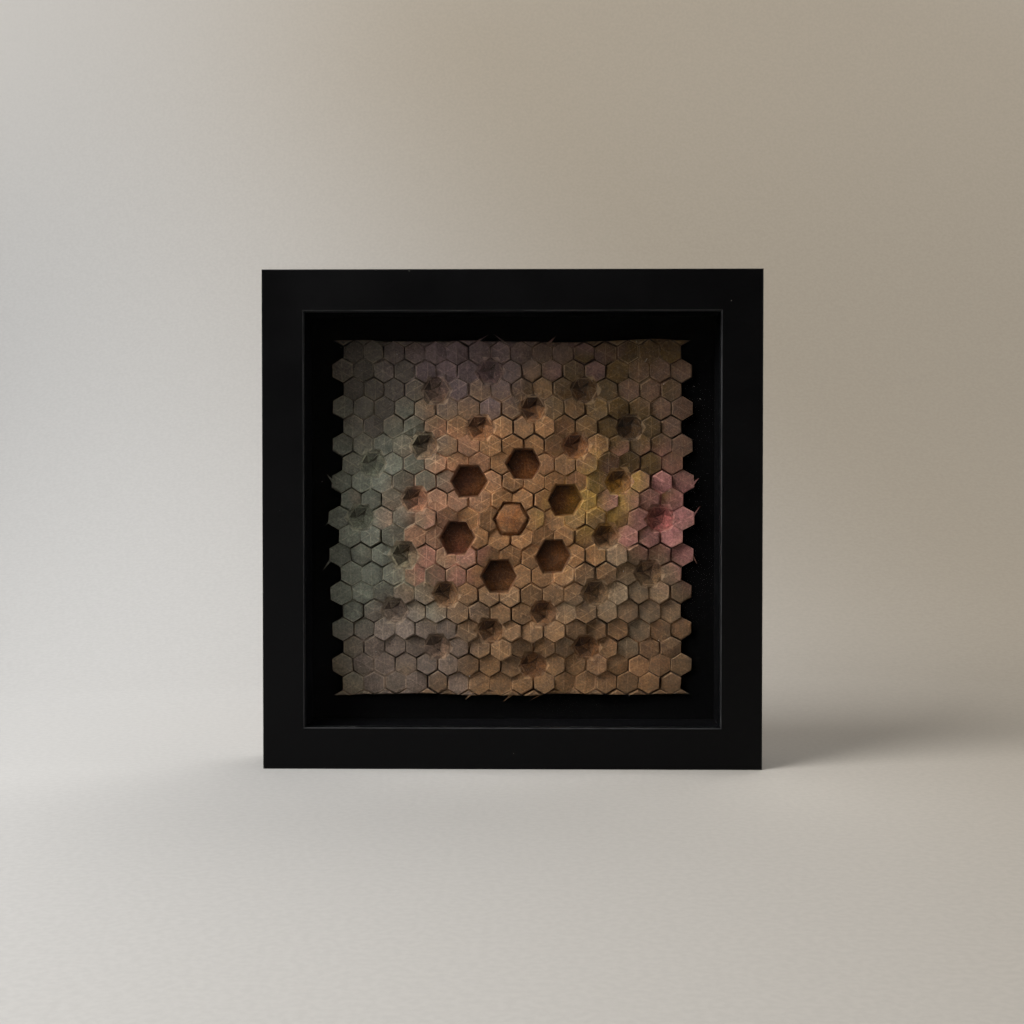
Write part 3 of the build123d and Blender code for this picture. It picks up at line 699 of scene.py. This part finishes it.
class FoldedSheet:
    """The front of the folded sheet as a mesh, with what its finish needs to know at each point."""

    def __init__(self):
        self.mesh = bmesh.new()
        self.mesh.from_mesh(NODES[SHEET_NODE].data)
        self.keep_front()
        points = self.mesh.verts.layers
        self.fold = points.float.new("fold")
        self.deep = points.float.new("deep")
        self.tile = points.float.new("tile")
        self.tone = points.float.new("tone")
        self.crease_place = points.float_vector.new("crease_place")
        self.bends = {}

    def keep_front(self):
        """Takes the back away, and makes one face of each flat facet."""
        mesh = self.mesh
        bmesh.ops.remove_doubles(mesh, verts=mesh.verts, dist=WELD)
        mesh.normal_update()
        behind = [face for face in mesh.faces if face.normal.y > -FRONT_FACING]
        bmesh.ops.delete(mesh, geom=behind, context="FACES")
        bmesh.ops.dissolve_limit(mesh, angle_limit=FLAT_ANGLE, verts=mesh.verts[:], edges=mesh.edges[:])
        mesh.normal_update()

    def tiles(self):
        """The facets that face the front and stand above everything beside them."""
        found = []
        for face in self.mesh.faces:
            own = set(face.verts)
            deepest = max(vertex.co.y for vertex in own)
            around = {v for edge in face.edges for other in edge.link_faces for v in other.verts} - own
            if face.normal.y < -TILE_FACING and all(v.co.y > deepest + LEAST_STEP for v in around):
                found.append(face)
        return found

    def cell(self, middle):
        """Column and row of a tile."""
        row = round((middle.z - MIDDLE.z) / ROW)
        return round(middle.x / PITCH - row / 2), row

    def lot(self, middle):
        """A random source that belongs to one tile."""
        column, row = self.cell(middle)
        return random.Random(LOT_STRIDE * row + column)

    def lot_at(self, place):
        """A random source that belongs to one place on a pleat."""
        across = round(LOT_STEPS[0] * place.x / PITCH)
        up = round(LOT_STEPS[1] * (place.z - MIDDLE.z) / ROW)
        return random.Random(LOT_STRIDE * across + up)

    def lean(self, middle, cells):
        """Slope of a tile, across and up, towards the well or pit beside it."""
        column, row = self.cell(middle)
        for across, up in BESIDE:
            beside = (column + across, row + up)
            if beside not in cells and is_feature(*beside):
                way = Vector(((across + up / 2) * PITCH, 0, up * ROW)).normalized()
                return way * TILE_LEAN if is_inside(*beside) else Vector()
        return Vector()

    def note_tile(self, vertex, middle, tone, fold):
        """Marks a point as one of a tile."""
        vertex[self.fold] = fold
        vertex[self.tile] = 1.0
        vertex[self.tone] = tone
        lot = self.lot(middle)
        shift = Vector((lot.uniform(-1, 1), 0, lot.uniform(-1, 1))) * CREASE_SHIFT
        vertex[self.crease_place] = (vertex.co - middle) / PITCH + shift

    def settle_tiles(self, tiles):
        """Sets each tile a little askew, as folded by hand."""
        cells = {self.cell(face.calc_center_median()) for face in tiles}
        for face in tiles:
            middle = face.calc_center_median()
            lot = self.lot(middle)
            lean = self.lean(middle, cells)
            tone = lot.random()
            size = 1 + lot.uniform(-1, 1) * TILE_GROWTH
            shift = Vector((lot.uniform(-1, 1), 0, lot.uniform(-1, 1))) * TILE_SHIFT
            shift.y = lot.uniform(-1, 1) * TILE_LIFT
            tilt_x, tilt_z = lot.uniform(-1, 1) * TILE_TILT, lot.uniform(-1, 1) * TILE_TILT
            bent = lot.uniform(*BENT_DROP) if lot.random() < BENT_SHARE else 0.0
            way = heading(math.pi / 3 * lot.randrange(6))
            if bent:
                self.bends[self.cell(middle)] = way
            for vertex in face.verts:
                arm = vertex.co - middle
                if arm.dot(way) > BEND_OFF:
                    vertex.co.y += bent
                    arm = vertex.co - middle
                self.note_tile(vertex, middle, tone, 1.0)
                vertex.co = middle + arm * size + shift
                vertex.co.y += arm.x * (tilt_x + lean.x) + arm.z * (tilt_z + lean.z)

    def tops_beside(self, vertex):
        """The corners of tiles beside a point at the bottom of a pleat. Other points have none."""
        if vertex[self.tile] == 1.0:
            return []
        if not all(any(v[self.tile] == 1.0 for v in face.verts) for face in vertex.link_faces):
            return []
        beside = [edge.other_vert(vertex) for edge in vertex.link_edges]
        return [other for other in beside if other[self.tile] == 1.0]

    def close_pleat(self, vertex, tops, share):
        """Raises a point at the bottom of a pleat towards the tiles beside it, and gives it less painted
        shade.
        """
        level = sum(other.co.y for other in tops) / len(tops)
        vertex.co.y += (level - vertex.co.y) * share
        vertex[self.deep] = min(vertex[self.deep], 1.0 - share)

    def settle_pleats(self):
        """Marks the bottoms of the pleats with painted shade, and closes some, so that tiles run together
        there.
        """
        bottoms = {vertex: self.tops_beside(vertex) for vertex in self.mesh.verts}
        bottoms = {vertex: tops for vertex, tops in bottoms.items() if tops}
        places = {vertex: vertex.co.copy() for vertex in bottoms}
        for vertex, tops in bottoms.items():
            lot = self.lot_at(places[vertex])
            # painted shade at the bottom of the pleat
            vertex[self.deep] = 1.0
            merged = MERGED_SHARE + MERGED_SWING * noise.noise(places[vertex] / MERGED_PATCH)
            if lot.random() < merged and not vertex.is_boundary:
                self.close_pleat(vertex, tops, lot.uniform(*MERGE_RISE))
        for edge in self.mesh.edges:
            ends = edge.verts
            if edge.is_boundary or not all(end in bottoms for end in ends):
                continue
            if self.lot_at((places[ends[0]] + places[ends[1]]) / 2).random() < PAIRED_SHARE:
                for end in ends:
                    if not end.is_boundary:
                        self.close_pleat(end, bottoms[end], PAIR_RISE)

    def mark_floors(self):
        """Paints shade on the floors of the pits and wells, and finishes the boss in the middle as a tile.
        """
        for vertex in self.mesh.verts:
            beside = [edge.other_vert(vertex) for edge in vertex.link_edges]
            if vertex[self.tile] == 1.0:
                continue
            if any(other[self.tile] == 1.0 for other in beside):
                if vertex.co.y > FLOOR_LEVEL and not vertex[self.deep]:
                    vertex[self.deep] = WELL_DEEP
                continue
            vertex[self.deep] = PIT_DEEP
            if (vertex.co - MIDDLE).xz.length < PITCH:
                vertex[self.deep] = 0.0
                self.note_tile(vertex, Vector((0, vertex.co.y, MIDDLE.z)), tone=0.5, fold=0.0)

    def is_floor(self, face):
        """Whether a face is the floor of a well."""
        return len(face.verts) == 6 and all(abs(v[self.deep] - WELL_DEEP) < SAME_DEEP for v in face.verts)

    def fold_floors(self):
        """Folds the floor of each well across its middle, and paints shade on it, darker towards one side.
        """
        for face in [face for face in self.mesh.faces if self.is_floor(face)]:
            middle = face.calc_center_median()
            way = heading(math.pi / 6 + math.pi / 3 * self.lot(middle).randrange(3))
            corners = sorted(face.verts, key=lambda corner: (corner.co - middle).dot(way))
            # painted shade, darker towards the upper left of the floor
            for corner in face.verts:
                side = (corner.co - middle).normalized().dot(FLOOR_PAINTED_SHADE_SIDE)
                corner[self.deep] = WELL_DEEP + FLOOR_PAINTED_SHADE * side
            corners[0].co.y -= FLOOR_FOLD
            corners[-1].co.y -= FLOOR_FOLD
            bmesh.utils.face_split(face, corners[0], corners[-1])

    def is_pit(self, face):
        """Whether a face is a facet of a pit."""
        deep = any(v[self.deep] > WELL_DEEP + PIT_DEEPER for v in face.verts)
        return deep and not any(v[self.tile] for v in face.verts)

    def edge_pits(self):
        """Gives each facet of a pit a narrow rim, for the pale line of its folds, and its own painted
        shade, lighter the more it faces the key lamp.
        """
        facets = [face for face in self.mesh.faces if self.is_pit(face)]
        for face in facets:
            for vertex in face.verts:
                vertex[self.fold] = PIT_FOLD
        bmesh.ops.inset_individual(self.mesh, faces=facets, thickness=PIT_FOLD_WIDTH, use_even_offset=True)
        for face in facets:
            tone = self.lot_at(face.calc_center_median()).random()
            # painted shade by how far the facet faces the key lamp
            dark, light = PIT_FACET_PAINTED_SHADES
            shade = dark + (light - dark) * min(max(face.normal.dot(KEY_LAMP_SIDE), 0.0), 1.0)
            for vertex in face.verts:
                vertex[self.fold] = 0.0
                vertex[self.tone] = tone
                vertex[self.deep] = shade

    def crown_tiles(self, tiles):
        """Rounds each tile over at its outline, and folds its top along its corners."""
        bmesh.ops.inset_individual(
            self.mesh, faces=tiles, thickness=FOLD_WIDTH, depth=FOLD_RISE, use_even_offset=True
        )
        for face in tiles:
            middle = face.calc_center_median()
            lot = self.lot(middle)
            tone = lot.random()
            for vertex in face.verts:
                self.note_tile(vertex, middle, tone, 0.0)
                vertex.co.y += lot.uniform(-1, 1) * CORNER_WARP
            crown = lot.uniform(*TILE_CROWN)
            way = self.bends.get(self.cell(middle))
            if way:
                bend = [v.co.y for v in face.verts if abs((v.co - middle).dot(way)) < BEND_BAND]
                crown = middle.y - sum(bend) / len(bend) if bend else crown
            made = bmesh.ops.poke(self.mesh, faces=[face], offset=crown)
            self.note_tile(made["verts"][0], middle, tone, 0.0)

    def mark_creases(self):
        """Keeps the folds crisp, apart from the rounded outlines of the tiles."""
        for face in self.mesh.faces:
            face.smooth = True
        for edge in self.mesh.edges:
            outline = all(vertex[self.fold] == 1.0 for vertex in edge.verts)
            edge.smooth = outline or edge.calc_face_angle(0.0) < CREASE_ANGLE

    def split_long_edges(self):
        """Makes the mesh fine enough to wave."""
        mesh = self.mesh
        bmesh.ops.triangulate(mesh, faces=mesh.faces[:])
        for _ in range(SPLIT_ROUNDS):
            long = [edge for edge in mesh.edges if edge.calc_length() > LONGEST_EDGE]
            bmesh.ops.subdivide_edges(mesh, edges=long, cuts=1)
            bmesh.ops.triangulate(mesh, faces=mesh.faces[:])

    def add_tips(self):
        """Thin ends of pleats, which stick out past the middle of each side."""
        lot = random.Random(TIP_SEED)
        level = CARD_FRONT - TIP_LEVEL
        sides = ((Vector((1, 0, 0)), SHEET_REACH.x), (Vector((0, 0, 1)), SHEET_REACH.z))
        for outward, reach in sides + tuple((-side, far) for side, far in sides):
            along = Vector((-outward.z, 0, outward.x))
            for number in range(TIPS_PER_SIDE):
                step = number - (TIPS_PER_SIDE - 1) / 2
                spread = TIP_SPREAD * (step + lot.uniform(-TIP_STRAY, TIP_STRAY))
                root = Vector((0, level, MIDDLE.z)) + outward * (reach - TIP_ROOT) + along * spread
                lean = lot.uniform(*TIP_LEAN) * lot.choice((-1, 1))
                tip = root + (outward + along * lean) * (TIP_ROOT + lot.uniform(*TIP_LENGTH))
                tip.y -= lot.uniform(*TIP_FORWARD)
                ridge = root - Vector((0, lot.uniform(*TIP_RIDGE), 0))
                self.add_tip([root - along * TIP_WIDTH / 2, ridge, root + along * TIP_WIDTH / 2], tip)

    def add_tip(self, root, tip):
        """One folded end: two narrow facets that meet in a ridge."""
        points = [self.mesh.verts.new(place) for place in (*root, tip)]
        for point in points:
            point[self.tile] = 1.0
            point[self.tone] = TIP_TONE
            point[self.fold] = TIP_FOLD
            point[self.crease_place] = TIP_CREASE
        for first, second in ((0, 1), (1, 2)):
            face = self.mesh.faces.new((points[first], points[second], points[3]))
            face.normal_update()
            if face.normal.y > 0:
                face.normal_flip()

    def wander(self):
        """Lets the rows wander, the sides bow out and the pleats pull the sheet in, as folded by hand."""
        for vertex in self.mesh.verts:
            up = (vertex.co.z - MIDDLE.z) / SHEET_REACH.z
            bow = SIDE_BOW * vertex.co.x / SHEET_REACH.x * (1 - up * up)
            sway = noise.noise_vector(vertex.co / WANDER_SIZE) * WANDER
            vertex.co += Vector((bow + sway.x + SHEET_OFF - SHEET_PULL * vertex.co.x, 0, sway.z))

    def cockle(self):
        """Lets the paper wave a little."""
        for vertex in self.mesh.verts:
            wave = (noise.noise(vertex.co / COCKLE_SIZE) - COCKLE_OFF) * COCKLE
            ripple = noise.noise_vector(vertex.co / RIPPLE_SIZE) * RIPPLE
            vertex.co += Vector((0, wave, 0)) + ripple

    def make(self):
        noise.seed_set(NOISE_SEED)
        tiles = self.tiles()
        self.settle_tiles(tiles)
        self.settle_pleats()
        self.mark_floors()
        self.edge_pits()
        self.fold_floors()
        self.crown_tiles(tiles)
        self.mark_creases()
        self.split_long_edges()
        self.add_tips()
        self.wander()
        self.cockle()
        made = bpy.data.meshes.new("folded_dyed_paper")
        self.mesh.to_mesh(made)
        self.mesh.free()
        return made


def new_piece(name, mesh, finish):
    """A piece of the object that Blender adds."""
    piece = bpy.data.objects.new(name, mesh)
    bpy.context.scene.collection.objects.link(piece)
    mesh.materials.append(finish)
    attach(piece, BODY)
    return piece


def folded_paper():
    """The sheet with its thickness, in the place of the plain one."""
    paper = new_piece("folded_dyed_paper", FoldedSheet().make(), dyed_paper())
    layer = paper.modifiers.new("thickness", "SOLIDIFY")
    layer.thickness = PAPER
    layer.offset = -1.0
    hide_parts(SHEET_NODE)


# Dust on the glazing

DUST_SEED = 11
DUST_MARGIN = 4 * MM  # kept clear of the spacers
DUST_BAND = (0.55, 1.0)  # dust lies in the outer part of the opening
FLECKS = 26
FLECK_RADIUS = (0.10 * MM, 0.24 * MM)
FLECK_RAGGED = (0.6, 1.2)
FLECK_HEIGHT = 0.06 * MM
FLECK_SIDES = 7
FIBRES = 7
FIBRE_LENGTH = (0.8 * MM, 2.2 * MM)
FIBRE_CURL = 2.4  # greatest turn from end to end, either way, in radians
FIBRE_RADIUS = 0.035 * MM
FIBRE_STEPS = 8
FIBRE_SIDES = 5


def fleck(mesh, middle, lot):
    """A low irregular crumb on the front of the glazing."""
    radius = lot.uniform(*FLECK_RADIUS)
    ring = []
    for number in range(FLECK_SIDES):
        reach = radius * lot.uniform(*FLECK_RAGGED)
        ring.append(mesh.verts.new(middle + heading(math.tau * number / FLECK_SIDES) * reach))
    peak = mesh.verts.new(middle + Vector((0, -FLECK_HEIGHT, 0)))
    for number in range(FLECK_SIDES):
        mesh.faces.new((ring[number - 1], ring[number], peak))
    mesh.faces.new(ring)


def fibre(mesh, start, lot):
    """A short curled fibre that lies on the glazing."""
    turn = lot.uniform(0, math.tau)
    curl = lot.uniform(-FIBRE_CURL, FIBRE_CURL)
    step = lot.uniform(*FIBRE_LENGTH) / FIBRE_STEPS
    place = start + Vector((0, -FIBRE_RADIUS, 0))
    rings = []
    for _ in range(FIBRE_STEPS + 1):
        along = heading(turn)
        across = Vector((-along.z, 0, along.x))
        ring = []
        for side in range(FIBRE_SIDES):
            angle = math.tau * side / FIBRE_SIDES
            arm = across * math.cos(angle) + Vector((0, 1, 0)) * math.sin(angle)
            ring.append(mesh.verts.new(place + arm * FIBRE_RADIUS))
        rings.append(ring)
        place = place + along * step
        turn += curl / FIBRE_STEPS
    for first, second in zip(rings, rings[1:]):
        for side in range(FIBRE_SIDES):
            mesh.faces.new((first[side - 1], first[side], second[side], second[side - 1]))
    mesh.faces.new(rings[0])
    mesh.faces.new(rings[-1])


def glazing_dust():
    """All the dust, as one piece."""
    lot = random.Random(DUST_SEED)
    mesh = bmesh.new()
    reach = OPENING - DUST_MARGIN
    for number in range(FLECKS + FIBRES):
        side = lot.uniform(*DUST_BAND) * reach * lot.choice((-1, 1))
        along = lot.uniform(-1, 1) * reach
        x, z = (side, along) if lot.random() < 0.5 else (along, side)
        place = Vector((x, GLAZING_FRONT, MIDDLE.z + z))
        if number < FLECKS:
            fleck(mesh, place, lot)
        else:
            fibre(mesh, place, lot)
    bmesh.ops.recalc_face_normals(mesh, faces=mesh.faces[:])
    made = bpy.data.meshes.new("glazing_dust")
    mesh.to_mesh(made)
    mesh.free()
    new_piece("glazing_dust", made, lint())


# Finishes of the model's own pieces

def finish_nodes():
    foil, spacer, steel = black_foil(), black_spacer(), zinc_steel()
    finishes = {
        "glazing_sheet": clear_glazing(), "mount_card": black_card(), "backing_board": fibreboard(),
        "sawtooth_hanger": steel, "hanger_rivets": steel, "corner_nails": steel, "spring_tabs": steel,
    }
    for side in ("bottom", "left", "top", "right"):
        finishes[f"frame_rail_{side}"] = foil
        finishes[f"spacer_strip_{side}"] = spacer
    for name, finish in finishes.items():
        NODES[name].data.materials.clear()
        NODES[name].data.materials.append(finish)


# Stage

FLOOR_REACH = 4.0
FLOOR_DROP = 0.2 * MM  # from the backdrop's foot down to the floor that shows from behind
COVE_START = 0.14  # from the frame's middle back to where the backdrop starts to rise
COVE_RADIUS = 0.90
COVE_STEPS = 24
WALL_HEIGHT = 2.6
COOL_WALL = colour(211, 210, 208)
PAINTED_SHADE_WALL = colour(170, 160, 145)
PAINTED_SHADE_WAY = (0.9, 0.0, 0.7)  # painted shade: the stage is darker and warmer to the right and the top
PAINTED_SHADE_REACH = (-0.35, 0.45)
PAINTED_LIGHT_REACH, PAINTED_LIGHT_TONES = (0.2, 0.8), (1.0, 1.25)  # painted light: paler higher up
KEY_PAINTED_SHADE_REACH, KEY_PAINTED_SHADE_TONES = (-0.8, -0.2), (0.72, 1.0)  # painted shade: darker at the left, towards the key lamp
SPECKLE_TONES = (0.97, 1.03)
FADE_MIDDLE = (0.25, 0.35, 0.0)
FADE_REACH = (0.95, 1.55)  # distances over which the stage fades into the background
SEEN_WORLD = colour(206, 202, 196)


def seen_rays(tree, path):
    """Rays that show the background: straight from the camera, or through the glazing."""
    return math_of(tree, "MAXIMUM", path["Is Camera Ray"], path["Is Transmission Ray"])


def stage_finish(name, one_sided=False):
    """Pale plaster with painted light and shade across it, that fades out far from the frame."""
    finish, tree, shader, output = new_finish(name)
    place = own_place(tree)
    parts = node(tree, "SeparateXYZ", {0: place}).outputs
    # painted shade, darker and warmer to the right and the top
    wall_painted_shade = ramp(tree, vector_of(tree, "DOT_PRODUCT", place, PAINTED_SHADE_WAY), *PAINTED_SHADE_REACH)
    tone = mixed(tree, wall_painted_shade, COOL_WALL, PAINTED_SHADE_WALL)
    # painted light, paler higher up
    tone = toned(tree, tone, ramp(tree, parts["Z"], *PAINTED_LIGHT_REACH, *PAINTED_LIGHT_TONES))
    # painted shade, darker at the left towards the key lamp
    tone = toned(tree, tone, ramp(tree, parts["X"], *KEY_PAINTED_SHADE_REACH, *KEY_PAINTED_SHADE_TONES))
    tone = toned(tree, tone, ramp(tree, clouds(tree, place, 3 * MM), *CLOUD_RANGE, *SPECKLE_TONES))
    set_inputs(tree, shader, Base_Color=tone, Roughness=0.95, Specular_IOR_Level=0.1)
    far = vector_of(tree, "LENGTH", vector_of(tree, "SUBTRACT", place, FADE_MIDDLE))
    seen = seen_rays(tree, node(tree, "LightPath").outputs)
    seen = times(tree, seen, ramp(tree, far, *FADE_REACH))
    glow = node(tree, "Emission", {"Color": SEEN_WORLD}).outputs[0]
    both = node(tree, "MixShader", {0: seen, 1: shader.outputs[0], 2: glow})
    if one_sided:
        clear = node(tree, "BsdfTransparent").outputs[0]
        back = node(tree, "NewGeometry").outputs["Backfacing"]
        both = node(tree, "MixShader", {0: back, 1: both.outputs[0], 2: clear})
    feed(tree, output.inputs["Surface"], both.outputs[0])
    return finish


def stage_piece(name, points, faces, finish):
    mesh = bpy.data.meshes.new(name)
    mesh.from_pydata(points, [], faces)
    mesh.materials.append(finish)
    for face in mesh.polygons:
        face.use_smooth = True
    piece = bpy.data.objects.new(name, mesh)
    bpy.context.scene.collection.objects.link(piece)
    return piece


def floor():
    reach = FLOOR_REACH
    corners = ((-reach, -reach), (reach, -reach), (reach, reach), (-reach, reach))
    points = [(x, y, -FLOOR_DROP) for x, y in corners]
    stage_piece("floor", points, [(0, 1, 2, 3)], stage_finish("pale floor"))


def backdrop():
    """A sheet under the frame that rises behind it. It shows from the front only and casts no shadow."""
    profile = [(-FLOOR_REACH, 0.0)]
    for number in range(COVE_STEPS + 1):
        angle = math.pi / 2 * number / COVE_STEPS
        profile.append((COVE_START + COVE_RADIUS * math.sin(angle), COVE_RADIUS * (1 - math.cos(angle))))
    profile.append((COVE_START + COVE_RADIUS, WALL_HEIGHT))
    points, faces = [], []
    for y, z in profile:
        points += [(-FLOOR_REACH, y, z), (FLOOR_REACH, y, z)]
    for number in range(len(profile) - 1):
        first = 2 * number
        faces.append((first, first + 1, first + 3, first + 2))
    piece = stage_piece("backdrop", points, faces, stage_finish("pale backdrop", one_sided=True))
    piece.visible_shadow = False


# Light and camera

LAMPS = {
    # name: (direction from the frame's middle, distance, width, power)
    "key": ((-0.66, -0.46, 0.66), 1.8, 1.15, 36.0),
    "fill": ((1.0, -0.12, 0.22), 1.7, 1.4, 8.0),
    "back": ((0.45, 0.85, 0.75), 1.6, 1.6, 12.0),
}
DIM_WORLD = 0.04
GLOSS_WORLD = 0.2


def place_facing(piece, target, away, distance):
    """Puts a lamp or camera at a distance from a target, looking at it."""
    bpy.context.scene.collection.objects.link(piece)
    piece.location = target + away * distance
    piece.rotation_euler = away.to_track_quat("Z", "Y").to_euler()


def lamps():
    for name, (direction, distance, width, power) in LAMPS.items():
        lamp = bpy.data.lights.new(name, "AREA")
        lamp.shape = "DISK"
        lamp.size = width
        lamp.energy = power
        place_facing(bpy.data.objects.new(name, lamp), MIDDLE, Vector(direction).normalized(), distance)


def world():
    """Pale where it is seen, and dim as light."""
    made = bpy.data.worlds.new("studio")
    bpy.context.scene.world = made
    made.use_nodes = True
    tree = made.node_tree
    tree.nodes.clear()
    path = node(tree, "LightPath").outputs
    glossy = times(tree, path["Is Glossy Ray"], GLOSS_WORLD)
    strength = math_of(tree, "MAXIMUM", math_of(tree, "MAXIMUM", seen_rays(tree, path), glossy), DIM_WORLD)
    light = node(tree, "Background", {"Color": SEEN_WORLD, "Strength": strength})
    node(tree, "OutputWorld", {"Surface": light.outputs[0]})


def camera():
    """Looks at the frame as the photograph does."""
    pixel = FRAME_WIDTH / FRAME_PIXELS
    target = Vector((0, FRONT, MIDDLE.z + DROP_PIXELS * pixel))
    level = math.cos(CAMERA_ELEVATION)
    away = Vector((
        math.sin(CAMERA_AZIMUTH) * level, -math.cos(CAMERA_AZIMUTH) * level, math.sin(CAMERA_ELEVATION),
    ))
    lens = bpy.data.cameras.new("camera")
    lens.sensor_width = SENSOR
    lens.lens = SENSOR * CAMERA_DISTANCE / (IMAGE_PIXELS * pixel)
    lens.clip_start = CLIP_START
    piece = bpy.data.objects.new("camera", lens)
    place_facing(piece, target, away, CAMERA_DISTANCE)
    bpy.context.scene.camera = piece


def main():
    bpy.context.scene.view_settings.view_transform = "Standard"
    camera()
    finish_nodes()
    folded_paper()
    glazing_dust()
    floor()
    backdrop()
    lamps()
    world()


main()
